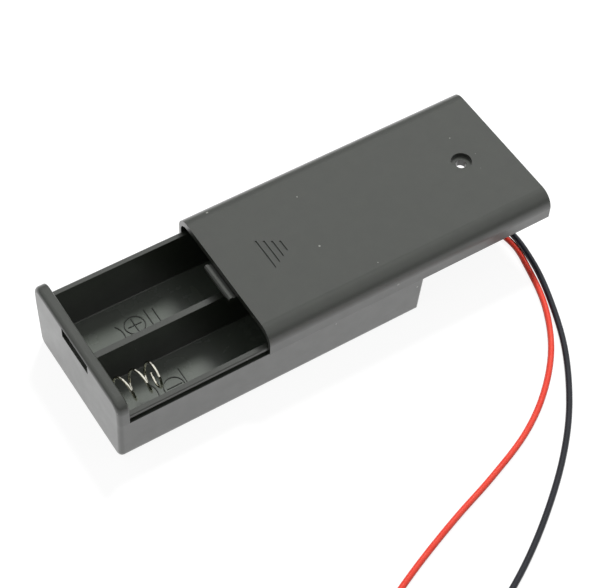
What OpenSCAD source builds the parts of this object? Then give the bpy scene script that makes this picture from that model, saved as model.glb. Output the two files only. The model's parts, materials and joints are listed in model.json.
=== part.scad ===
// Covered holder for two cylindrical cells side by side, with a sliding lid,
// a slide switch reached from the underside, and two flexible leads.
// Millimetres. Origin at the centre of the underside, +Z up, cells along X.
// The lid slides off towards +X, the near bay is on -Y and the far bay on +Y.

/* [Cells] */
// Diameter of one cell
cell_d = 14.5; // [13.5:0.1:18.5]
// Length of one cell
cell_l = 50.5; // [44:0.5:66]
// Room in each bay beside the cell
cell_play = 0.18; // [0.1:0.02:0.6]
// Room above the cells under the lid
cell_headroom = 0.4; // [0.2:0.1:1.5]
// Length left in each bay for the contacts and the pressed spring
contact_room = 4.2; // [3.6:0.1:8]

/* [Base] */
// Thickness of the side walls below the lid
side_wall = 1.65; // [1.5:0.05:3]
// Thickness of the floor
floor_t = 1.6; // [1.2:0.1:3]
// Thickness of the full-height end wall
end_wall = 2.5; // [2:0.1:4]
// Thickness of the wall between the bays
divider_t = 1.35; // [1:0.05:3]
// Thickness of the wall between the bays and the switch
partition_t = 1.4; // [1:0.1:3]
// Length of the switch room
switch_room_l = 9; // [8.6:0.1:14]
// Thickness of the end wall that the leads pass
lead_wall = 1.4; // [1:0.1:3]
// Height of the seat that the lid's skirts slide on
seat_h = 11.9; // [10.5:0.1:13]
// How far the wall between the bays stops below the seat
divider_drop = 0.3; // [0:0.1:2]
// Height of the rails above the seat
rail_h = 1.5; // [1.5:0.05:2.2]
// Distance of the rails' outer faces from the base's side faces
rail_inset = 0.5; // [0.45:0.05:0.9]
// Height of the bead along the top of each rail
bead_h = 0.8; // [0.6:0.05:0.8]
// Slope of the side faces, as the width lost at the foot
side_draft = 0.65; // [0:0.05:0.9]
// Slope of the lead end, as the length lost at the foot
end_draft = 0.3; // [0:0.05:1.2]
// Radius along the long bottom edges
foot_r = 1.9; // [0.5:0.1:2.6]
// Radius of the end wall's top corners
end_corner_r = 2.6; // [1:0.1:4]
// Radius of the end wall's outer edge, all round
end_edge_r = 1; // [0.3:0.1:1.5]
// Radius of the end wall's edge towards the bays
end_inner_r = 0.4; // [0.2:0.05:0.6]
// Radius of the upright corners at the lead end
upright_r = 0.8; // [0.3:0.1:2]

/* [Lid] */
// Thickness of the lid's top
lid_t = 1.5; // [1.2:0.1:2.5]
// Thickness of the lid's skirts
skirt_t = 0.75; // [0.7:0.05:1.2]
// Radius along the lid's long edges
lid_r = 3.4; // [2:0.1:4]
// How far the lips reach under the beads
lip_bite = 0.3; // [0.2:0.02:0.5]
// Thickness of the lid's end skirt
end_skirt_t = 1.2; // [0.8:0.1:2]
// How far the lid stands open
lid_open = 30; // [0:1:60]
// Running gap between the lid and the base
run_gap = 0.1; // [0.05:0.01:0.2]
// Gap between the closed lid and the end wall
lid_end_gap = 0.12; // [0.05:0.01:0.5]
// Width of the snap tongue
tongue_w = 9.4; // [6:0.2:12]
// Thickness of the snap tongue
tongue_t = 1; // [0.6:0.1:1.2]
// How far the tongue reaches past the lid's edge
tongue_reach = 1.6; // [1:0.1:2.2]

/* [Lid screw] */
// Through hole for the screw
screw_hole_d = 2.2; // [1.6:0.1:3]
// Diameter of the sunk seat for the screw's head
screw_head_d = 4.3; // [3.6:0.1:5.5]
// Depth of the seat for the screw's head
screw_head_h = 0.9; // [0.5:0.1:1.5]
// Diameter of the lid's boss
lid_boss_d = 6; // [5.6:0.2:8]
// Length of the lid's boss below its top plate
lid_boss_h = 1.1; // [0.6:0.1:1.2]
// Diameter of the base's screw boss
boss_d = 4.6; // [3.6:0.1:4.8]
// Pilot hole for the screw
pilot_d = 1.6; // [1.2:0.1:2]
// Distance of the screw from the bay side of the partition
boss_inset = 1.7; // [1.4:0.1:2]

/* [Contacts] */
// Thickness of the contact plates
plate_t = 0.3; // [0.2:0.05:0.5]
// Height of the contact plates
plate_h = 9.6; // [8:0.2:10]
// Gap round the contact plates
plate_gap = 0.12; // [0.05:0.01:0.3]
// Thickness of the spring wire
spring_wire_d = 0.55; // [0.4:0.05:0.8]
// Diameter of the springs, to the middle of the wire
spring_d = 5.6; // [4:0.2:7]
// Gap between a spring's flat first turn and the turn that follows
spring_foot_gap = 0.15; // [0.1:0.05:0.5]
// Distance from turn to turn
spring_pitch = 3.4; // [2:0.1:4]
// Number of open turns
spring_turns = 2.7; // [2:0.1:4]

/* [Switch] */
// Width of the switch's steel shell
shell_w = 3.8; // [3.4:0.1:5]
// Length of the shell
shell_l = 8.8; // [8.4:0.1:10]
// Height of the shell
shell_h = 3.5; // [3:0.1:4]
// Sheet thickness of the shell
shell_t = 0.3; // [0.2:0.05:0.4]
// Travel of the switch
switch_travel = 2; // [1:0.1:2.4]
// Width of the knob's stem
knob_w = 1.5; // [1:0.1:2]
// Length of the knob's stem
knob_l = 2.2; // [1.6:0.1:2.6]
// Depth of the recess for the knob in the underside
knob_recess = 2.4; // [2:0.1:3]
// Distance from terminal to terminal
terminal_pitch = 2.5; // [2:0.1:2.8]

/* [Leads] */
// Diameter of the leads
lead_d = 1.3; // [1:0.05:1.35]
// Diameter of the holes for the leads
lead_hole_d = 1.8; // [1.7:0.1:2]
// Diameter of the tinned ends
tip_d = 0.9; // [0.6:0.1:1]
// Length of the tinned ends
tip_l = 5; // [3:0.5:8]

/* [Hidden] */

eps = 0.01;
past = 1;                  // how far a cut runs past the face that it opens

abs_black = "#2b2d2c";
nickel = "#c9c8bd";
brass = "#c8a252";
phenolic = "#8a5a2e";

// The end wall's outer edge, always a little smaller than the corners that it follows
corner_spare = 0.1;
end_round = min(end_edge_r, end_corner_r - corner_spare, foot_r - corner_spare);

// Across the base
bay_w = cell_d + cell_play;
bay_y = (divider_t + bay_w) / 2;
inner_y = divider_t / 2 + bay_w;
base_w = 2 * (inner_y + side_wall);
foot_y = base_w / 2 - side_draft;
side_slope = atan(side_draft / seat_h);
foot_arc_y = foot_y + foot_r * tan(side_slope) - foot_r / cos(side_slope);
rail_y = base_w / 2 - rail_inset;
lip_y = rail_y - lip_bite;
neck_y = lip_y - run_gap;
lid_w = 2 * (rail_y + run_gap + skirt_t);

// Along the base
bay_l = cell_l + contact_room;
base_l = end_wall + bay_l + partition_t + switch_room_l + lead_wall;
x_end = -base_l / 2;
x_bay = x_end + end_wall;
x_partition = x_bay + bay_l;
x_room = x_partition + partition_t;
x_lead_wall = x_room + switch_room_l;
x_lead_end = x_lead_wall + lead_wall;
x_boss = x_partition + boss_inset;

// Heights
rail_top = seat_h + rail_h;
bead_z = rail_top - bead_h;
lid_under = floor_t + cell_d + cell_headroom;
lid_top = lid_under + lid_t;
skirt_z = seat_h + run_gap;
cell_z = floor_t + cell_d / 2;

// The lid as it stands
lid_l = base_l - end_wall;
x_lid = x_bay + lid_end_gap + lid_open;
x_lid_end = x_lid + lid_l;
x_screw = x_boss + lid_open;
lid_inner_y = lid_w / 2 - skirt_t;
lid_corner_t = 1;           // thickness through the lid's long round edges
lid_inner_r = lid_r - lid_corner_t;
lip_h = rail_h - bead_h - 2 * run_gap;
end_skirt_z = rail_top + 2 * run_gap;

// The snap tongue and its window
tongue_drop = 0.45;         // between the lid's underside and the tongue
tongue_z = lid_under - tongue_t - tongue_drop;
tongue_root = 3;
tongue_neck = 0.8;
tongue_lip_l = 0.9;
tongue_ease = 0.3;
window_gap = 0.4;
window_top_gap = 0.9;       // over the tongue's raised lip
pass_gap = 0.3;             // under the tongue as it passes the boss and the window
window_w = tongue_w + 2 * window_gap;
window_z = tongue_z - pass_gap;
window_h = pass_gap + tongue_t + tongue_drop - run_gap + window_top_gap;
relief_depth = 0.15;
relief_rim = 0.6;

// The arrow of four grooves in the lid's top: distance from the edge, length
arrow_rows = 4;
arrow_start = 9.5;
arrow_pitch = 1.38;
arrow_long = 7.6;
arrow_step = 1.6;
groove_w = 0.35;
groove_depth = 0.25;

// Ribs that hold the contact plates against the end walls
rib_w = 1.4;
rib_l = 0.8;
rib_h = 11;
plate_z = floor_t + 1.4;
plate_corner_r = 1;
slot_l = plate_t + plate_gap;
x_bridge = x_bay + plate_gap / 2;
x_plate = x_partition - plate_gap / 2 - plate_t;
plate_side_gap = 0.3;
nipple_r = 2.6;
nipple_h = 1;
tail_w = 2.4;
tail_z = plate_z + plate_h - plate_t;
tail_reach = 3.4;
tail_slot_gap = 0.15;
blob_r = 0.8;
blob_inset = 0.9;
blob_side = 0.5;

// The springs: a flat turn, the open turns and a closed end
spring_sides = 8;
spring_steps = 20;         // rings in each turn
spring_seat_gap = 0.02;
spring_turn = 154;          // direction of the wire's start round the spring
spring_end_turns = 0.75;
spring_end_rise = 0.35;

// The switch, from the underside up
recess_w = 5.2;
recess_l = 12;
recess_r = 1;
recess_rim = 0.7;           // between the recess and the lead wall's inner face
x_switch = x_lead_wall - recess_rim - recess_w / 2;
seat_t = 1;
seat_rim = 0.9;
switch_z = knob_recess + seat_t;
board_t = 0.8;
board_z = switch_z + shell_h;
seat_side_rim = 1.2;
seat_l = recess_l + 2 * seat_side_rim;
slide_gap = 0.1;
slot_end_gap = 0.15;
knob_slot_ease = 0.3;       // the base's slot is this much larger than the shell's
knob_tip_z = 0.5;
knob_y = -switch_travel / 2;
knob_slot_w = knob_w + 2 * slide_gap;
knob_slot_l = knob_l + switch_travel + 2 * slot_end_gap;
slider_l = 4.6;
slider_h = 1.9;
slider_play = 0.05;
slider_z = switch_z + shell_t + slider_play;
grip_groove = 0.3;
grip_pitch = 0.6;
post_t = 1.2;
post_w = 2.8;
post_gap = 0.15;
hook_h = 0.6;
hook_bite = 0.4;
terminal_w = 1.6;
terminal_t = 0.4;
terminal_h = 3.2;
rivet_d = 0.8;
rivet_head_d = 1.4;
rivet_head_h = 0.15;
rivet_gap = 0.03;
terminal_z = board_z + board_t;
clip_t = 0.2;
clip_w = 1.4;
clip_z = slider_z + slider_h;
clip_h = board_z - rivet_head_h - slider_play - clip_z;

// The wire from the near bay's contact to the switch
wire_gap = 0.2;
wire_start = [x_room + tail_reach - blob_inset, tail_w / 2 + wire_gap - bay_y, tail_z + plate_t + wire_gap];
wire_end = [x_switch - 0.4, -0.6, terminal_z + terminal_h + 0.5];
jumper_route = [wire_start, wire_start + [0.6, 2, 0], wire_end + [-1, -1.8, 1], wire_end];

// The leads: points along their middles. The first lie inside the switch room.
lead_sides = 8;
red_route = [[29.8, 3.4, 11.4], [29.1, 5.7, 10.8], [28.9, 7.4, 9.4], [29.5, 8.1, 7.7],
    [30.9, 7.8, 6.2], [33.2, 6.6, 5.4], [36, 6.5, 5.3], [39.7, 6.5, 4.5], [45.6, 6.2, 2.6],
    [52.2, 3.4, 1.2], [57.6, -2.8, 0.7], [60.5, -12, 0.7], [59.5, -19.8, 0.7], [56.7, -29.3, 0.7],
    [51.4, -38.5, 0.7], [43.8, -46.2, 0.7], [35, -52, 0.7], [24.1, -56.5, 0.7], [12.6, -60.4, 0.7],
    [1.2, -64.8, 0.7], [-10, -69.8, 0.7], [-18.6, -73.6, 0.7]];
black_route = [[26.6, 9.4, 12.8], [26.6, 12.2, 12.5], [27, 14, 11], [27.8, 14.4, 8.2],
    [29.3, 12.5, 5.9], [32.2, 9.4, 5.6], [36, 9, 5.4], [39.7, 9, 4.9], [45.8, 8.8, 3.5],
    [52.6, 5.6, 2.3], [58.2, -0.8, 1.9], [61.3, -10, 1.75], [60.9, -18.8, 1.6], [58.7, -28, 1],
    [54, -39.5, 0.7], [46.8, -50.6, 0.7], [38.6, -59.6, 0.7], [28.5, -68, 0.7], [17.8, -75.2, 0.7],
    [6.6, -81, 0.7], [-4.8, -85.6, 0.7]];
lead_exit_z = 5.5;
red_exit_y = 6.5;
black_exit_y = 9;

// ---------- small helpers ----------

// Extrudes a section drawn across the object (Y, Z) from x0 to x1.
module along_x(x0, x1) {
    translate([x0, 0, 0]) rotate([90, 0, 90]) linear_extrude(x1 - x0) children();
}

// Extrudes a side view (X, Z) to a width centred on Y = 0.
module along_y(width) {
    rotate([90, 0, 0]) linear_extrude(width, center = true) children();
}

// A box between two corners.
module block(low, high) {
    translate(low) cube(high - low);
}

// Repeats its children on both sides of the XZ plane.
module both_sides() {
    children();
    mirror([0, 1, 0]) children();
}

// The same in a section, where Y runs along the first axis.
module both_halves() {
    children();
    mirror([1, 0]) children();
}

// A rectangle centred on the origin with round corners.
module round_rect(size_x, size_y, r) {
    union() {
        square([size_x - 2 * r, size_y], center = true);
        square([size_x, size_y - 2 * r], center = true);
        for (sx = [-1, 1], sy = [-1, 1])
            translate([sx * (size_x / 2 - r), sy * (size_y / 2 - r)]) circle(r, $fn = 48);
    }
}

// What a round corner takes off a square one at the origin, open towards -X and -Z.
module corner_waste(r) {
    difference() {
        translate([-past, -past]) square(r + past);
        translate([r, r]) circle(r, $fn = 64);
    }
}

// ---------- tubes swept along a path ----------

function unit(v) = v / norm(v);
function direction(p, i) =
    i == 0 ? unit(p[1] - p[0]) :
    i == len(p) - 1 ? unit(p[i] - p[i - 1]) :
    unit(unit(p[i + 1] - p[i]) + unit(p[i] - p[i - 1]));

// A smooth curve through the points, with extra points in each stretch.
function curve_at(a, b, c, d, t) =
    0.5 * (2 * b + (c - a) * t + (2 * a - 5 * b + 4 * c - d) * t * t + (3 * b - a - 3 * c + d) * t * t * t);
function smooth(p, steps) = [
    for (i = [0 : len(p) - 2], k = [0 : steps - 1])
        let (a = p[max(i - 1, 0)], d = p[min(i + 2, len(p) - 1)])
        curve_at(a, p[i], p[i + 1], d, k / steps),
    p[len(p) - 1]
];

// One ring of a tube, square to the path; level gives the direction kept level.
function ring(centre, dir, r, sides) =
    let (side = unit(cross(dir, abs(dir.z) > 0.97 ? [1, 0, 0] : [0, 0, 1])), up = cross(side, dir))
    [for (k = [0 : sides - 1]) let (a = 360 * (k + 0.5) / sides)
        centre + r * (cos(a) * side + sin(a) * up)];

module skin(rings, sides) {
    last = len(rings) - 1;
    polyhedron(
        points = [for (one = rings, p = one) p],
        faces = concat(
            [[for (k = [0 : sides - 1]) k]],
            [for (i = [0 : last - 1], k = [0 : sides - 1])
                let (n = (k + 1) % sides)
                [i * sides + k, (i + 1) * sides + k, (i + 1) * sides + n, i * sides + n]],
            [[for (k = [sides - 1 : -1 : 0]) last * sides + k]]
        )
    );
}

module tube(path, d, sides) {
    skin([for (i = [0 : len(path) - 1]) ring(path[i], direction(path, i), d / 2, sides)], sides);
}

// ---------- base ----------

// The body's section below the lid, with drafted sides and a round foot.
module body_section() {
    difference() {
        polygon([[-foot_y, 0], [foot_y, 0], [base_w / 2, seat_h], [-base_w / 2, seat_h]]);
        both_halves() difference() {
            translate([foot_arc_y, -past]) square([foot_r + past, past + foot_r * (1 - sin(side_slope))]);
            translate([foot_arc_y, foot_r]) circle(foot_r, $fn = 64);
        }
    }
}

// The full-height end wall, over the whole width.
module end_section() {
    difference() {
        translate([-base_w / 2, seat_h - eps]) square([base_w, lid_top - seat_h + eps]);
        both_halves() translate([base_w / 2, lid_top]) rotate(180) corner_waste(end_corner_r);
    }
}

// Side view: upright end wall with round edges, drafted lead end with a round foot.
module side_view() {
    lead_foot_r = 1.6;
    difference() {
        polygon([[x_end, 0], [x_lead_end - end_draft, 0], [x_lead_end, seat_h],
            [x_lead_end, seat_h + eps], [x_bay, seat_h + eps], [x_bay, lid_top], [x_end, lid_top]]);
        translate([x_end, 0]) corner_waste(end_round);
        translate([x_end, lid_top]) rotate(-90) corner_waste(end_round);
        translate([x_bay, lid_top]) rotate(180) corner_waste(end_inner_r);
        translate([x_lead_end - end_draft, 0]) rotate(90) corner_waste(lead_foot_r);
    }
}

// Carries a corner's waste round a turn of the outline whose centre is at (y, z).
module turned_waste(x, y, z, from, to) {
    translate([x, y, z]) rotate([0, 90, 0]) rotate([0, 0, from]) rotate_extrude(angle = to - from, $fn = 96)
        children();
}

// What the end wall's round edges take off its turns and uprights, on the +Y side.
module end_edge_waste() {
    upper_y = base_w / 2 - end_corner_r;
    upper_z = lid_top - end_corner_r;
    turned_waste(x_end, upper_y, upper_z, 90, 180)
        translate([end_corner_r, 0]) rotate(90) corner_waste(end_round);
    turned_waste(x_bay, upper_y, upper_z, 90, 180)
        translate([end_corner_r, 0]) rotate(180) corner_waste(end_inner_r);
    turned_waste(x_end, foot_arc_y, foot_r, 0, 90 - side_slope)
        translate([foot_r, 0]) rotate(90) corner_waste(end_round);
    translate([x_end, base_w / 2, seat_h - past]) linear_extrude(lid_top - seat_h + 2 * past)
        rotate(-90) corner_waste(end_round);
    translate([x_bay, base_w / 2, seat_h]) linear_extrude(lid_top - seat_h + past)
        rotate(180) corner_waste(end_inner_r);
    translate([x_end, foot_y, 0]) rotate([-side_slope, 0, 0]) translate([0, 0, -past])
        linear_extrude(seat_h + 2 * past) rotate(-90) corner_waste(end_round);
}

// The lead end's upright corner on the +Y side leans with both drafts.
module lead_corner_waste() {
    translate([x_lead_end - end_draft, foot_y, 0]) rotate([-side_slope, atan(end_draft / seat_h), 0])
        translate([0, 0, -past]) linear_extrude(seat_h + 2 * past) rotate(180) corner_waste(upright_r);
}

module outer_form() {
    difference() {
        intersection() {
            union() {
                along_x(x_end, x_lead_end) body_section();
                along_x(x_end, x_bay) end_section();
            }
            along_y(base_w + 2 * past) side_view();
        }
        both_sides() {
            end_edge_waste();
            lead_corner_waste();
        }
    }
}

// The rail that a lip of the lid runs under: a neck with a bead on top.
module rail_section() {
    bead_edge = 0.2;
    polygon([[inner_y - eps, seat_h - eps], [neck_y, seat_h - eps], [neck_y, bead_z], [rail_y, bead_z],
        [rail_y, rail_top - bead_edge], [rail_y - bead_edge, rail_top], [inner_y - eps, rail_top]]);
}

module rails() {
    along_x(x_bay - eps, x_lead_end) both_halves() rail_section();
}

module bay_rooms() {
    both_sides() block([x_bay, divider_t / 2, floor_t], [x_partition, inner_y, lid_top + past]);
}

module divider_cut() {
    block([x_bay, -divider_t / 2 - eps, seat_h - divider_drop],
        [x_partition, divider_t / 2 + eps, lid_top + past]);
}

// The bridge plate crosses the wall between the bays in a slot that is open at the top.
module bridge_slot() {
    block([x_bay, -divider_t / 2 - eps, plate_z - plate_gap],
        [x_bay + slot_l, divider_t / 2 + eps, lid_top + past]);
}

module switch_room() {
    block([x_room, -inner_y, floor_t], [x_lead_wall, inner_y, lid_top + past]);
}

// Walls above the seat between the rails.
module upper_walls() {
    block([x_partition, -inner_y - eps, seat_h - eps], [x_room, inner_y + eps, rail_top]);
    block([x_lead_wall, -neck_y, seat_h - eps], [x_lead_end, neck_y, rail_top]);
}

module contact_ribs() {
    x_low = x_bay + slot_l;
    x_high = x_partition - slot_l;
    both_sides() {
        block([x_low, inner_y - rib_w, floor_t - eps], [x_low + rib_l, inner_y + eps, rib_h]);
        block([x_high - rib_l, inner_y - rib_w, floor_t - eps], [x_high, inner_y + eps, rib_h]);
        block([x_high - rib_l, divider_t / 2 - eps, floor_t - eps], [x_high, divider_t / 2 + rib_w, rib_h]);
    }
}

module screw_boss() {
    difference() {
        translate([x_boss, 0, floor_t - eps])
            cylinder(d = boss_d, h = tongue_z - pass_gap - floor_t + eps, $fn = 64);
        bay_rooms();
    }
}

// Raised seat for the switch, with two hooked posts that hold its board down.
module switch_seat() {
    x_seat = x_switch - recess_w / 2 - seat_rim;
    post_y = shell_l / 2 + post_gap;
    hook_z = terminal_z + slider_play;
    block([x_seat, -seat_l / 2, floor_t - eps], [x_lead_wall + eps, seat_l / 2, switch_z]);
    both_sides() translate([x_switch - post_w / 2, 0, 0]) rotate([90, 0, 90]) linear_extrude(post_w)
        polygon([[post_y, switch_z - eps], [post_y + post_t, switch_z - eps],
            [post_y + post_t, hook_z + hook_h / 2], [post_y + post_t / 2, hook_z + hook_h],
            [post_y - hook_bite, hook_z], [post_y, hook_z]]);
}

module underside_recess() {
    translate([x_switch, 0, -past]) linear_extrude(knob_recess + past)
        round_rect(recess_w, recess_l, recess_r);
}

module knob_slot() {
    half_w = (knob_slot_w + knob_slot_ease) / 2;
    half_l = (knob_slot_l + knob_slot_ease) / 2;
    translate([x_switch, 0, 0]) block([-half_w, -half_l, 0], [half_w, half_l, switch_z + past]);
}

module lead_holes() {
    for (y = [red_exit_y, black_exit_y])
        translate([x_lead_wall - past, y, lead_exit_z]) rotate([0, 90, 0])
            cylinder(d = lead_hole_d, h = lead_wall + 2 * past, $fn = 48);
}

// The window runs through the end wall, with a shallow relief round it on the bay side.
module tongue_window() {
    relief_y = window_w / 2 + relief_rim;
    block([x_end - past, -window_w / 2, window_z], [x_bay + past, window_w / 2, window_z + window_h]);
    block([x_bay - relief_depth, -relief_y, window_z - relief_rim], [x_bay + past, relief_y, lid_top + past]);
}

module tail_slots() {
    slot_half = tail_w / 2 + tail_slot_gap;
    both_sides() block([x_partition - past, bay_y - slot_half, tail_z - tail_slot_gap],
        [x_room + past, bay_y + slot_half, rail_top + past]);
}

module base() color(abs_black) difference() {
    union() {
        difference() {
            union() {
                outer_form();
                rails();
                upper_walls();
            }
            bay_rooms();
            divider_cut();
            bridge_slot();
            switch_room();
        }
        contact_ribs();
        screw_boss();
        switch_seat();
    }
    underside_recess();
    knob_slot();
    lead_holes();
    tongue_window();
    tail_slots();
    translate([x_boss, 0, floor_t + past]) cylinder(d = pilot_d, h = lid_top, $fn = 48);
}

// ---------- lid ----------

module lid_outline() {
    difference() {
        translate([-lid_w / 2, skirt_z]) square([lid_w, lid_top - skirt_z]);
        both_halves() translate([lid_w / 2, lid_top]) rotate(180) corner_waste(lid_r);
    }
}

module lid_hollow() {
    difference() {
        translate([-lid_inner_y, skirt_z - past]) square([2 * lid_inner_y, lid_under - skirt_z + past]);
        both_halves() translate([lid_inner_y, lid_under]) rotate(180) corner_waste(lid_inner_r);
    }
}

// A lip along the inside of each skirt hooks under the base's bead.
module lid_lip() {
    lead_in = 0.2;
    polygon([[lid_inner_y + eps, skirt_z], [lip_y + lead_in, skirt_z], [lip_y, skirt_z + lead_in],
        [lip_y, skirt_z + lip_h], [lid_inner_y + eps, skirt_z + lip_h]]);
}

module lid_section() {
    difference() {
        lid_outline();
        lid_hollow();
    }
    both_halves() lid_lip();
}

// The tongue hangs under the lid's edge and carries a raised lip at its tip.
module tongue() {
    tip = x_lid - tongue_reach;
    low = tongue_z + tongue_t;
    lip_z = lid_under - run_gap;
    along_y(tongue_w) polygon([
        [tip + tongue_ease, tongue_z], [x_lid + tongue_root, tongue_z],
        [x_lid + tongue_root, lid_under + eps], [x_lid + tongue_neck, lid_under + eps],
        [x_lid + tongue_neck, low], [tip + tongue_lip_l, low], [tip + tongue_lip_l, lip_z],
        [tip + tongue_ease, lip_z], [tip, low], [tip, tongue_z + tongue_ease]]);
}

module arrow_grooves() {
    for (i = [0 : arrow_rows - 1])
        translate([x_lid + arrow_start + i * arrow_pitch, 0, lid_top - groove_depth])
            linear_extrude(groove_depth + past)
                square([groove_w, arrow_long - i * arrow_step], center = true);
}

module lid() color(abs_black) difference() {
    union() {
        along_x(x_lid, x_lid_end) lid_section();
        along_x(x_lid_end - end_skirt_t, x_lid_end) intersection() {
            lid_outline();
            translate([-lid_w / 2, end_skirt_z]) square([lid_w, lid_top]);
        }
        translate([x_screw, 0, lid_under - lid_boss_h])
            cylinder(d = lid_boss_d, h = lid_boss_h + eps, $fn = 64);
        tongue();
    }
    translate([x_screw, 0, 0]) cylinder(d = screw_hole_d, h = lid_top + past, $fn = 48);
    translate([x_screw, 0, lid_top - screw_head_h])
        cylinder(d = screw_head_d, h = screw_head_h + past, $fn = 64);
    arrow_grooves();
}

// ---------- contacts ----------

// A flat plate with round corners, standing across the bays from x to x + plate_t.
module plate(x, width) {
    translate([0, 0, plate_z + plate_h / 2]) along_x(x, x + plate_t)
        round_rect(width, plate_h, plate_corner_r);
}

// A pressed nipple that bulges towards +X from x; hollow behind, as pressed sheet is.
module nipple(x) {
    dome_r = (nipple_r * nipple_r + nipple_h * nipple_h) / (2 * nipple_h);
    translate([x, 0, cell_z]) rotate([0, 90, 0]) rotate_extrude($fn = 64) intersection() {
        translate([0, nipple_h - dome_r]) difference() {
            circle(dome_r, $fn = 96);
            circle(dome_r - plate_t, $fn = 96);
        }
        square([nipple_r, nipple_h + eps]);
    }
}

// The plate is open where the nipple is pressed out of it.
module nipple_hole(x) {
    translate([x - past, 0, cell_z]) rotate([0, 90, 0])
        cylinder(r = nipple_r - plate_t, h = plate_t + 2 * past, $fn = 64);
}

// A tail folds over the partition and ends in a drop of solder.
module tail(x) {
    x_tip = x_room + tail_reach;
    block([x, -tail_w / 2, tail_z], [x_tip, tail_w / 2, tail_z + plate_t]);
    translate([x_tip - blob_inset, blob_side, tail_z + plate_t - eps]) difference() {
        sphere(blob_r, $fn = 48);
        translate([-blob_r - past, -blob_r - past, -blob_r - past])
            cube([2 * (blob_r + past), 2 * (blob_r + past), blob_r + past]);
    }
}

module bridge_plate() color(nickel) {
    difference() {
        plate(x_bridge, 2 * (inner_y - plate_side_gap));
        translate([0, bay_y, 0]) nipple_hole(x_bridge);
    }
    translate([0, bay_y, 0]) nipple(x_bridge + plate_t - eps);
}

// A coil that stands on x and runs towards +X. Its first turn lies flat and winds inwards.
function coil_point(x, t) =
    let (open = max(t - 1, 0), angle = spring_turn + 360 * t)
    let (r = spring_d / 2 + (1 - min(t, 1)) * (spring_wire_d + spring_foot_gap))
    let (closed = max(open - spring_turns, 0) / spring_end_turns)
    [x + min(open, spring_turns) * spring_pitch + closed * spring_end_rise, r * cos(angle), r * sin(angle)];

function coil_ring(x, t) =
    let (p = coil_point(x, t), dir = unit(coil_point(x, t + 0.01) - coil_point(x, t - 0.01)))
    let (out = unit([0, p.y, p.z]), side = unit(cross(dir, out)), normal = cross(side, dir))
    [for (k = [0 : spring_sides - 1]) let (a = 360 * k / spring_sides)
        p + spring_wire_d / 2 * (cos(a) * side + sin(a) * normal)];

module coil() {
    turns = 1 + spring_turns + spring_end_turns;
    start = spring_wire_d / 2 + spring_seat_gap;
    skin([for (i = [0 : floor(turns * spring_steps)]) coil_ring(start, i / spring_steps)], spring_sides);
}

module bridge_spring() color(nickel)
    translate([x_bridge + plate_t, -bay_y, cell_z]) coil();

// The plates on the partition stand with their backs to it.
module partition_plate() {
    plate(x_plate, bay_w - 2 * plate_side_gap);
    tail(x_plate);
}

module negative_plate() color(nickel) translate([0, bay_y, 0]) partition_plate();

module negative_spring() color(nickel)
    translate([x_plate, bay_y, cell_z]) rotate([0, 0, 180]) coil();

module positive_plate() color(nickel) translate([0, -bay_y, 0]) {
    difference() {
        partition_plate();
        nipple_hole(x_plate);
    }
    mirror([1, 0, 0]) nipple(-x_plate - eps);
}

// ---------- switch ----------

module switch_shell() color(nickel) translate([x_switch, 0, switch_z]) difference() {
    translate([-shell_w / 2, -shell_l / 2, 0]) cube([shell_w, shell_l, shell_h]);
    translate([-shell_w / 2 + shell_t, -shell_l / 2 + shell_t, shell_t])
        cube([shell_w - 2 * shell_t, shell_l - 2 * shell_t, shell_h]);
    translate([-knob_slot_w / 2, -knob_slot_l / 2, -past])
        cube([knob_slot_w, knob_slot_l, shell_t + 2 * past]);
}

module switch_board() color(phenolic) translate([x_switch, 0, board_z]) difference() {
    translate([-shell_w / 2, -shell_l / 2, 0]) cube([shell_w, shell_l, board_t]);
    for (i = [-1 : 1]) translate([0, i * terminal_pitch, -past])
        cylinder(d = rivet_d + 2 * rivet_gap, h = board_t + 2 * past, $fn = 48);
}

module switch_knob() color("#1b1c1c") translate([x_switch, knob_y, 0]) difference() {
    union() {
        translate([-knob_w / 2, -knob_l / 2, knob_tip_z]) cube([knob_w, knob_l, slider_z - knob_tip_z + eps]);
        translate([-shell_w / 2 + shell_t + slide_gap, -slider_l / 2, slider_z])
            cube([shell_w - 2 * (shell_t + slide_gap), slider_l, slider_h]);
    }
    for (i = [-1 : 1]) translate([-knob_w, i * grip_pitch - grip_groove / 2, knob_tip_z - past])
        cube([2 * knob_w, grip_groove, past + grip_groove]);
}

// A bent bronze strip rides on the slider and wipes two of the three rivets.
module switch_clip() color(brass) translate([x_switch - clip_w / 2, knob_y, clip_z]) {
    arm = slider_l / 2 - 0.2;
    half = [[arm, 0], [arm - 0.5, clip_h], [arm - 0.9, clip_h], [arm - 0.85, clip_h - clip_t],
        [arm - 0.6, clip_h - clip_t], [arm - 0.3, clip_t]];
    rotate([90, 0, 90]) linear_extrude(clip_w)
        polygon(concat(half, [for (i = [len(half) - 1 : -1 : 0]) [-half[i].x, half[i].y]]));
}

// A riveted tab; solder is the drop on its top, where a wire ends.
module terminal(place, solder) color(nickel)
    translate([x_switch, place * terminal_pitch, terminal_z]) {
        eye_z = terminal_h - terminal_w / 2;
        difference() {
            union() {
                translate([-terminal_t / 2, -terminal_w / 2, 0]) cube([terminal_t, terminal_w, eye_z]);
                translate([-terminal_t / 2, 0, eye_z]) rotate([0, 90, 0])
                    cylinder(d = terminal_w, h = terminal_t, $fn = 48);
            }
            if (!solder) translate([-past, 0, eye_z]) rotate([0, 90, 0])
                cylinder(d = terminal_w / 2, h = 2 * past, $fn = 48);
        }
        translate([0, 0, -board_t - eps]) cylinder(d = rivet_d, h = board_t + 2 * eps, $fn = 48);
        translate([0, 0, -board_t - rivet_head_h]) cylinder(d = rivet_head_d, h = rivet_head_h, $fn = 48);
        if (solder) translate([0, 0, terminal_h]) sphere(blob_r, $fn = 48);
    }

module terminal_near() terminal(-1, false);
module terminal_middle() terminal(0, true);
module terminal_far() terminal(1, true);

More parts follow.
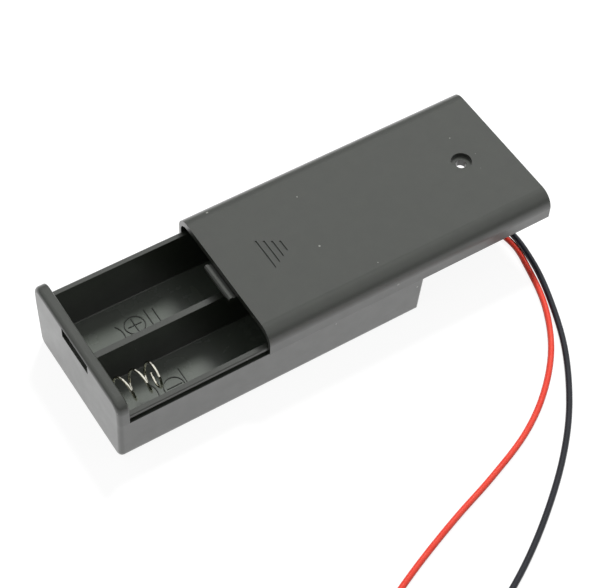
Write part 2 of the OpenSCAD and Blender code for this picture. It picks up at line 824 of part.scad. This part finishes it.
module jumper_wire() color("#c22a22") tube(smooth(jumper_route, 2), lead_d, lead_sides);

// ---------- leads ----------

module lead(route, tint) color(tint) tube(smooth(route, 2), lead_d, lead_sides);

// The tinned end runs on in line from the route's last point.
module lead_tip(route) color(nickel) {
    end = route[len(route) - 1];
    dir = direction(smooth(route, 2), 2 * (len(route) - 1));
    translate(end) rotate([0, 90, atan2(dir.y, dir.x)]) cylinder(d = tip_d, h = tip_l, $fn = 32);
}

module red_lead() lead(red_route, "#d8281e");
module black_lead() lead(black_route, "#141414");
module red_lead_tip() lead_tip(red_route);
module black_lead_tip() lead_tip(black_route);

base();
lid();
bridge_plate();
bridge_spring();
negative_plate();
negative_spring();
positive_plate();
switch_shell();
switch_board();
switch_knob();
switch_clip();
terminal_near();
terminal_middle();
terminal_far();
jumper_wire();
red_lead();
black_lead();
red_lead_tip();
black_lead_tip();
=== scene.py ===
import json
import math

import bpy
from mathutils import Matrix, Vector


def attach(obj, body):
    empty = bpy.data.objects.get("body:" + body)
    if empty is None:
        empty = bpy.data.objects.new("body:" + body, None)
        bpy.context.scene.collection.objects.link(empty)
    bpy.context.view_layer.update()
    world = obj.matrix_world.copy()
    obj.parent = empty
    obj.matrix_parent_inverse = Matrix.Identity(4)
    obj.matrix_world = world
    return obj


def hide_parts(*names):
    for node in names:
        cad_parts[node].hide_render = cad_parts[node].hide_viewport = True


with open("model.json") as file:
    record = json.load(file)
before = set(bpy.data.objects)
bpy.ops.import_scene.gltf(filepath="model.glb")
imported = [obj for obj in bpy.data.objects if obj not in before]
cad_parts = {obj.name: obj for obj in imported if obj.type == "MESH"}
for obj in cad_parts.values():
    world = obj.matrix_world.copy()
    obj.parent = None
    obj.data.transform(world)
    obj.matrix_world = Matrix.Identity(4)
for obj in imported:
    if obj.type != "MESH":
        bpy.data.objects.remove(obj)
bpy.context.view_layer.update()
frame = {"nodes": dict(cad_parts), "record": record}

MM = 0.001
FLOOR_Z = 1.6  # the bay floors' height above the underside, in millimetres
EMBED = 0.02  # how far an added form reaches into the plastic that carries it, in millimetres


def mm(*values):
    """A point or a size given in millimetres."""
    return Vector(values) * MM


# ---------- camera ----------

CAMERA_AT = mm(-111.877, -186.91, 303.701)
CAMERA_AIM = mm(12.47, -5.51, 8.0)
CAMERA_ROLL = math.radians(2.83)
LENS = 111.285
SENSOR = 36
NEAR, FAR = 0.01, 20  # what the camera takes in, in metres


def make_camera():
    data = bpy.data.cameras.new("camera")
    data.sensor_width = SENSOR
    data.lens = LENS
    data.clip_start, data.clip_end = NEAR, FAR
    camera = bpy.data.objects.new("camera", data)
    bpy.context.scene.collection.objects.link(camera)
    forward = (CAMERA_AIM - CAMERA_AT).normalized()
    right = forward.cross(Vector((0, 0, 1))).normalized()
    up = right.cross(forward)
    c, s = math.cos(CAMERA_ROLL), math.sin(CAMERA_ROLL)
    turned = Matrix((c * right + s * up, -s * right + c * up, -forward)).transposed()
    camera.matrix_world = Matrix.Translation(CAMERA_AT) @ turned.to_4x4()
    bpy.context.scene.camera = camera


make_camera()

# ---------- the leads, along the same points as the CAD's routes ----------

LEAD_D = 1.3
WIRE_RESOLUTION = 6
RED_ROUTE = [
    (29.8, 3.4, 11.4), (29.1, 5.7, 10.8), (28.9, 7.4, 9.4), (29.5, 8.1, 7.7), (30.9, 7.8, 6.2),
    (33.2, 6.6, 5.4), (36, 6.5, 5.3), (39.7, 6.5, 4.5), (45.6, 6.2, 2.6), (52.2, 3.4, 1.2),
    (57.6, -2.8, 0.7), (60.5, -12, 0.7), (59.5, -19.8, 0.7), (56.7, -29.3, 0.7), (51.4, -38.5, 0.7),
    (43.8, -46.2, 0.7), (35, -52, 0.7), (24.1, -56.5, 0.7), (12.6, -60.4, 0.7), (1.2, -64.8, 0.7),
    (-10, -69.8, 0.7), (-18.6, -73.6, 0.7),
]
BLACK_ROUTE = [
    (26.6, 9.4, 12.8), (26.6, 12.2, 12.5), (27, 14, 11), (27.8, 14.4, 8.2), (29.3, 12.5, 5.9),
    (32.2, 9.4, 5.6), (36, 9, 5.4), (39.7, 9, 4.9), (45.8, 8.8, 3.5), (52.6, 5.6, 2.3),
    (58.2, -0.8, 1.9), (61.3, -10, 1.75), (60.9, -18.8, 1.6), (58.7, -28, 1), (54, -39.5, 0.7),
    (46.8, -50.6, 0.7), (38.6, -59.6, 0.7), (28.5, -68, 0.7), (17.8, -75.2, 0.7), (6.6, -81, 0.7),
    (-4.8, -85.6, 0.7),
]


def smooth(route, steps):
    """A Catmull-Rom curve through the route, in metres."""
    p = [mm(*q) for q in route]
    out = []
    for i in range(len(p) - 1):
        a, b, c, d = p[max(i - 1, 0)], p[i], p[i + 1], p[min(i + 2, len(p) - 1)]
        for k in range(steps):
            t = k / steps
            out.append(0.5 * (2 * b + (c - a) * t + (2 * a - 5 * b + 4 * c - d) * t**2
                              + (3 * b - a - 3 * c + d) * t**3))
    return out + [p[-1]]


def wire(name, path, d):
    """A round wire along a path, as a curve with flat ends."""
    data = bpy.data.curves.new(name, "CURVE")
    data.dimensions = "3D"
    data.bevel_depth = d / 2
    data.bevel_resolution = WIRE_RESOLUTION
    data.use_fill_caps = True
    data.twist_mode = "MINIMUM"
    spline = data.splines.new("POLY")
    spline.points.add(len(path) - 1)
    for point, q in zip(spline.points, path):
        point.co = (*q, 1)
    spline.use_smooth = True
    piece = bpy.data.objects.new(name, data)
    bpy.context.scene.collection.objects.link(piece)
    return piece


# ---------- node helpers ----------

MIDDLE = 0.3, 0.7  # the part of a noise's range that most of its values lie in


class Nodes:
    """A material under construction; every method adds one node and returns what it gives."""

    def __init__(self, name):
        self.material = bpy.data.materials.new(name)
        self.material.use_nodes = True
        self.tree = self.material.node_tree
        self.shader = self.tree.nodes["Principled BSDF"]
        self.place = self.add("ShaderNodeTexCoord").outputs["Object"]

    def add(self, kind, inputs=(), **settings):
        node = self.tree.nodes.new(kind)
        for key, value in settings.items():
            setattr(node, key, value)
        for key, value in dict(inputs).items():
            self.put(node.inputs[key], value)
        return node

    def put(self, socket, value):
        if isinstance(value, bpy.types.NodeSocket):
            self.tree.links.new(value, socket)
        else:
            socket.default_value = value

    def noise(self, scale, detail=2.0, rough=0.5, vector=None):
        node = self.add("ShaderNodeTexNoise", {
            "Vector": vector or self.place, "Scale": scale, "Detail": detail, "Roughness": rough})
        return node.outputs["Fac"]

    def ramp(self, value, low, high, to_low=0.0, to_high=1.0):
        node = self.add("ShaderNodeMapRange", {
            "Value": value, "From Min": low, "From Max": high, "To Min": to_low, "To Max": to_high})
        return node.outputs["Result"]

    def uneven(self, low, high, scale, detail, rough=0.5):
        """A value that wanders between low and high."""
        return self.ramp(self.noise(scale, detail, rough), *MIDDLE, low, high)

    def mottled(self, one, other, scale, detail, rough):
        """A colour that wanders between two."""
        return self.mix(self.uneven(0.0, 1.0, scale, detail, rough), one, other)

    def math(self, operation, a, b=0.0):
        return self.add("ShaderNodeMath", {0: a, 1: b}, operation=operation).outputs[0]

    def mix(self, factor, a, b):
        node = self.add("ShaderNodeMix", data_type="RGBA")
        self.put(node.inputs[0], factor)
        self.put(node.inputs[6], a)
        self.put(node.inputs[7], b)
        return node.outputs[2]

    def bump(self, height, strength, distance, normal=None):
        inputs = {"Height": height, "Strength": strength, "Distance": distance}
        if normal:
            inputs["Normal"] = normal
        return self.add("ShaderNodeBump", inputs).outputs["Normal"]

    def bevel(self, radius, samples):
        """The normal with the edges rounded off."""
        return self.add("ShaderNodeBevel", {"Radius": radius}, samples=samples).outputs["Normal"]

    def set(self, **sockets):
        for key, value in sockets.items():
            self.put(self.shader.inputs[key.replace("_", " ").title().replace("Ior", "IOR")], value)
        return self.material


def grey(value):
    return (value, value, value, 1.0)


# ---------- materials ----------

DUST = (0.26, 0.27, 0.24, 1)
DUST_CELLS = 300.0
FLOOR_REACH = 0.00005  # the bay floors' finish ends this far above them, in metres
FACES_UP = 0.9  # the least Z of the normal of a face that looks up
FLOOR_SMOOTHER = 0.2  # how much less rough the bay floors are than the rest
DULLED = 0.82  # the darker patches of plated metal, as a part of its colour


def moulded_plastic(name, dark, light, rough, grain, dust, floor=None, edge=0.00018):
    """Black moulded plastic: fine spark texture, faint mottling and a few specks of dust.

    floor is the paler colour of the smooth bay floors: partly dust, and partly a painted sheen that
    stands in for the key lamp's gloss on these up-facing floors."""
    n = Nodes(name)
    colour = n.mottled(dark, light, 420, 5, 0.65)
    roughness = n.uneven(rough - 0.04, rough + 0.05, 300, 3)
    if floor:
        height = n.add("ShaderNodeSeparateXYZ", {"Vector": n.place}).outputs["Z"]
        facing = n.add("ShaderNodeSeparateXYZ", {
            "Vector": n.add("ShaderNodeNewGeometry").outputs["True Normal"]}).outputs["Z"]
        on_floor = n.math("MULTIPLY", n.math("LESS_THAN", height, FLOOR_Z * MM + FLOOR_REACH),
                          n.math("GREATER_THAN", facing, FACES_UP))
        patchy_dust_and_sheen = n.uneven(0.85, 1.0, 160, 3)
        # Painted sheen, partly dust: the up-facing bay floor faces get the paler floor colour,
        # which stands in for the key lamp's gloss on them.
        colour = n.mix(n.math("MULTIPLY", on_floor, patchy_dust_and_sheen), colour, floor)
        roughness = n.math("SUBTRACT", roughness, n.math("MULTIPLY", on_floor, FLOOR_SMOOTHER))
    cells = n.add("ShaderNodeTexVoronoi", {
        "Vector": n.place, "Scale": DUST_CELLS, "Randomness": 1.0})
    size = n.math("MULTIPLY", n.ramp(n.noise(900, 0), 0.56, 0.8), dust)
    speck = n.math("LESS_THAN", cells.outputs["Distance"], size)
    colour = n.mix(speck, colour, DUST)
    normal = n.bump(n.noise(3800, 3, 0.65), grain, 0.00003, n.bevel(edge, 6))
    return n.set(base_color=colour, roughness=roughness, normal=normal,
                 specular_ior_level=0.5, coat_weight=1.0, coat_roughness=0.35, coat_ior=1.55)


def bright_metal(name, colour, rough, scratch=0.25, round_off=None):
    """Plated metal with fine drawn marks and slightly uneven gloss."""
    n = Nodes(name)
    tone = n.mottled(colour, [c * DULLED for c in colour[:3]] + [1], 500, 4, 0.6)
    roughness = n.uneven(rough * 0.7, rough * 1.4, 900, 3)
    softened = n.bevel(round_off, 8) if round_off else None
    return n.set(base_color=tone, metallic=1.0, roughness=roughness,
                 normal=n.bump(n.noise(5200, 2), scratch, 0.00001, softened))


def wire_cover(name, colour, deep, rough):
    """Soft PVC cover with a slightly uneven surface."""
    n = Nodes(name)
    tone = n.mottled(colour, deep, 260, 4, 0.6)
    roughness = n.uneven(rough - 0.05, rough + 0.08, 400, 2)
    normal = n.bump(n.noise(1500, 3), 0.12, 0.00004)
    return n.set(base_color=tone, roughness=roughness, normal=normal, specular_ior_level=0.5)


def laminate(name):
    """Brown pressed paper board, as under a small switch."""
    n = Nodes(name)
    tone = n.mottled((0.32, 0.16, 0.06, 1), (0.22, 0.1, 0.035, 1), 900, 5, 0.7)
    return n.set(base_color=tone, roughness=0.45, normal=n.bump(n.noise(2500, 3), 0.2, 0.00003))


# The floor colour below is partly dust and partly a painted sheen on the bay floors.
SHELL = moulded_plastic("black_plastic", (0.006, 0.009, 0.004, 1), (0.01, 0.014, 0.007, 1),
                        rough=0.45, grain=0.3, dust=0.1, floor=(0.1, 0.116, 0.096, 1))
KNOB = moulded_plastic("knob_plastic", grey(0.012), grey(0.016), rough=0.4, grain=0.3, dust=0.0)
STRIP = bright_metal("nickel_strip", (0.72, 0.70, 0.64, 1), 0.22)
SPRING = bright_metal("nickel_wire", (0.96, 0.94, 0.82, 1), 0.12, 0.1, round_off=0.00015)
TINNED = bright_metal("tinned_metal", (0.72, 0.72, 0.71, 1), 0.3, 0.4)
BRONZE = bright_metal("contact_bronze", (0.75, 0.5, 0.24, 1), 0.25)
BOARD = laminate("brown_laminate")
RED = wire_cover("red_pvc", (0.97, 0.085, 0.05, 1), (0.92, 0.06, 0.035, 1), 0.38)
BLACK = wire_cover("black_pvc", (0.012, 0.013, 0.02, 1), (0.007, 0.008, 0.013, 1), 0.35)

FINISH = {
    "black_abs": SHELL, "knob_plastic": KNOB, "nickel_strip": STRIP, "nickel_wire": SPRING,
    "tinned": TINNED, "bronze": BRONZE, "phenolic": BOARD, "red_pvc": RED, "black_pvc": BLACK,
}


def dress(piece, material):
    piece.data.materials.clear()
    piece.data.materials.append(material)


for part in frame["record"]["subparts"]:
    dress(frame["nodes"][part["node"]], FINISH[part["material_slot"]])

# ---------- the leads' covers ----------

STEPS = 6  # pieces of curve between two points of a route


def lead(name, route, material, slot):
    piece = wire(name, smooth(route, STEPS), LEAD_D * MM)
    dress(piece, material)
    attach(piece, "holder")
    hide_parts(slot.split("_")[0] + "_lead")


lead("red_cover", RED_ROUTE, RED, "red_pvc")
lead("black_cover", BLACK_ROUTE, BLACK, "black_pvc")

# ---------- signs on the bay floors, as thin moulded ribs ----------

RIB_W, RIB_H = 0.26, 0.16
RIB_TAPER = 0.3  # how far each side leans in, as a part of half the rib's width
SIGN_R = 2.15  # the ring round a sign
CELL_R = 3.9  # the arc beside it


def rib(points, closed=False):
    """The outline of a thin rib along points on the floor: quads for its top and both sides."""
    n = len(points)
    left, right = [], []
    for i, p in enumerate(points):
        before = points[i - 1] if i or closed else p
        after = points[(i + 1) % n] if i < n - 1 or closed else p
        along = (Vector(after) - Vector(before)).normalized()
        side = Vector((-along.y, along.x))
        left.append(Vector(p) + side * RIB_W / 2)
        right.append(Vector(p) - side * RIB_W / 2)
    verts, faces = [], []
    for a, b in zip(left, right):
        mid = (a + b) / 2
        verts += [(*a, FLOOR_Z - EMBED), (*a.lerp(mid, RIB_TAPER), FLOOR_Z + RIB_H),
                  (*b.lerp(mid, RIB_TAPER), FLOOR_Z + RIB_H), (*b, FLOOR_Z - EMBED)]
    last = n if closed else n - 1
    for i in range(last):
        j = (i + 1) % n
        for k in range(4):
            m = (k + 1) % 4
            faces.append((i * 4 + k, i * 4 + m, j * 4 + m, j * 4 + k))
    if not closed:
        faces += [(3, 2, 1, 0), tuple((n - 1) * 4 + k for k in range(4))]
    return verts, faces


def ring_points(centre, r, start=0.0, end=360.0, count=40):
    """Points round a circle, or along its arc from start to end, in degrees."""
    n = count if end - start >= 360 else count + 1
    angles = [math.radians(start + (end - start) * i / count) for i in range(n)]
    return [(centre[0] + r * math.cos(t), centre[1] + r * math.sin(t)) for t in angles]


def moulded(name, parts):
    """One piece of black plastic from several small closed forms on the holder."""
    verts, faces = [], []
    for v, f in parts:
        faces += [tuple(k + len(verts) for k in one) for one in f]
        verts += v
    mesh = bpy.data.meshes.new(name)
    mesh.from_pydata([mm(*v) for v in verts], [], faces)
    mesh.validate()
    mesh.update()
    piece = bpy.data.objects.new(name, mesh)
    bpy.context.scene.collection.objects.link(piece)
    dress(piece, SHELL)
    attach(piece, "holder")


def sign(name, ribs):
    """A polarity sign from ribs, each a line of points and whether it closes."""
    moulded(name, [rib(points, closed) for points, closed in ribs])


sign("far_bay_sign", [
    (ring_points((-17.3, 8.8), SIGN_R), True),
    ([(-18.8, 8.8), (-15.8, 8.8)], False),
    ([(-17.3, 7.1), (-17.3, 10.5)], False),
    ([(-14.0, 6.7), (-14.0, 11.2)], False),
    ([(-12.3, 6.7), (-12.3, 10.7)], False),
    (ring_points((-24.1, 8.0), CELL_R, -28, 38, 14), False),
])
sign("near_bay_sign", [
    (ring_points((-17.85, -8.0), SIGN_R), True),
    ([(-19.45, -8.0), (-16.15, -8.0)], False),
    ([(-15.15, -8.9), (-15.15, -4.7)], False),
    (ring_points((-25.15, -7.2), CELL_R, -28, 34, 14), False),
])

# ---------- the small round along the foot of each bay's long walls ----------

BAY_FROM, BAY_TO = -32.0, 22.7
WALLS = (15.355, -1), (0.675, 1), (-0.675, -1), (-15.355, 1)  # the wall's face, the way to the bay
FOOT_R = 0.22
FOOT_STEPS = 6


def foot_round(y, way):
    """A concave round in the corner at y, as a closed bar along the bay."""
    arc = [math.radians(90 * k / FOOT_STEPS) for k in range(FOOT_STEPS + 1)]
    section = [(-EMBED, -EMBED), (FOOT_R, -EMBED)]
    section += [(FOOT_R - FOOT_R * math.sin(t), FOOT_R - FOOT_R * math.cos(t)) for t in arc]
    section.append((-EMBED, FOOT_R))
    n = len(section)
    verts = [(x, y + way * u, FLOOR_Z + v) for x in (BAY_FROM, BAY_TO) for u, v in section]
    faces = [(k, (k + 1) % n, n + (k + 1) % n, n + k) for k in range(n)]
    faces += [tuple(range(n - 1, -1, -1)), tuple(range(n, 2 * n))]
    return verts, [face if way > 0 else face[::-1] for face in faces]


moulded("bay_foot_rounds", [foot_round(y, way) for y, way in WALLS])

# ---------- floor, world and lamps ----------

FLOOR_HALF = 3.0  # half the floor's width, in metres
FLOOR_DROP = 0.00002  # the floor lies this far under the part, so that their faces don't meet
FLOOR_GLOW = 0.9  # what the camera sees of the floor, before the light on it
HORIZON = 0.45  # what gloss sees low over the floor, where the ceiling is 1
LOW_WAY, HIGH_WAY = 0.3, 0.7  # Z of the ways between which the horizon turns into the ceiling
EVEN_LIGHT = 0.3  # the light from all round
LAMP_WAY = (6.6, 6.4, 14.9)
LAMP_DISTANCE, LAMP_SIZE = 1.2, 0.28
KEY_POWER, GLEAM_POWER = 11.5, 1.5


def make_floor():
    mesh = bpy.data.meshes.new("floor")
    corners = [(x * FLOOR_HALF, y * FLOOR_HALF, 0) for x, y in ((-1, -1), (1, -1), (1, 1), (-1, 1))]
    mesh.from_pydata(corners, [], [(0, 1, 2, 3)])
    floor = bpy.data.objects.new("floor", mesh)
    floor.location.z = -FLOOR_DROP
    bpy.context.scene.collection.objects.link(floor)
    n = Nodes("floor_white")
    tree = n.tree
    paths = n.add("ShaderNodeLightPath")
    mirrored = n.math("MAXIMUM", paths.outputs["Is Glossy Ray"],
                      paths.outputs["Is Transmission Ray"])
    direct = n.math("MULTIPLY", paths.outputs["Is Camera Ray"], FLOOR_GLOW)
    glow = n.add("ShaderNodeEmission", {
        "Color": grey(1.0), "Strength": n.math("MAXIMUM", direct, mirrored)})
    plain = n.add("ShaderNodeBsdfDiffuse", {"Color": grey(0.25)})
    total = n.add("ShaderNodeAddShader", {0: glow.outputs[0], 1: plain.outputs[0]})
    tree.links.new(total.outputs[0], tree.nodes["Material Output"].inputs["Surface"])
    tree.nodes.remove(n.shader)
    mesh.materials.append(n.material)


def make_world():
    """Even soft light; what gloss sees is a white ceiling over a dimmer horizon."""
    world = bpy.data.worlds.new("studio")
    bpy.context.scene.world = world
    world.use_nodes = True
    tree = world.node_tree
    tree.nodes.clear()

    def node(kind, **settings):
        made = tree.nodes.new(kind)
        for key, value in settings.items():
            setattr(made, key, value)
        return made

    def background(strength):
        made = node("ShaderNodeBackground")
        made.inputs["Color"].default_value = grey(1.0)
        if isinstance(strength, bpy.types.NodeSocket):
            tree.links.new(strength, made.inputs["Strength"])
        else:
            made.inputs["Strength"].default_value = strength
        return made.outputs[0]

    def choose(factor, otherwise, chosen):
        made = node("ShaderNodeMixShader")
        tree.links.new(factor, made.inputs[0])
        tree.links.new(otherwise, made.inputs[1])
        tree.links.new(chosen, made.inputs[2])
        return made.outputs[0]

    way = node("ShaderNodeSeparateXYZ")
    tree.links.new(node("ShaderNodeTexCoord").outputs["Generated"], way.inputs[0])
    height = node("ShaderNodeMapRange", interpolation_type="SMOOTHSTEP")
    tree.links.new(way.outputs["Z"], height.inputs["Value"])
    limits = {"From Min": LOW_WAY, "From Max": HIGH_WAY, "To Min": HORIZON, "To Max": 1.0}
    for key, value in limits.items():
        height.inputs[key].default_value = value
    paths = node("ShaderNodeLightPath")
    shader = choose(paths.outputs["Is Glossy Ray"], background(EVEN_LIGHT),
                    background(height.outputs["Result"]))
    shader = choose(paths.outputs["Is Transmission Ray"], shader, background(1.0))
    shader = choose(paths.outputs["Is Camera Ray"], shader, background(1.0))
    tree.links.new(shader, node("ShaderNodeOutputWorld").inputs["Surface"])


def lamp(name, power, gloss_only=False):
    """A soft disc lamp, which lights either the diffuse part of what it meets or its gloss."""
    data = bpy.data.lights.new(name, "AREA")
    data.shape = "DISK"
    data.size = LAMP_SIZE
    data.energy = power
    light = bpy.data.objects.new(name, data)
    bpy.context.scene.collection.objects.link(light)
    way = Vector(LAMP_WAY).normalized()
    light.location = way * LAMP_DISTANCE
    light.rotation_mode = "QUATERNION"
    light.rotation_quaternion = way.to_track_quat("Z", "Y")
    light.visible_glossy = gloss_only
    light.visible_diffuse = not gloss_only


make_floor()
make_world()
lamp("key", KEY_POWER)
lamp("gleam", GLEAM_POWER, gloss_only=True)

bpy.context.scene.view_settings.view_transform = "Standard"
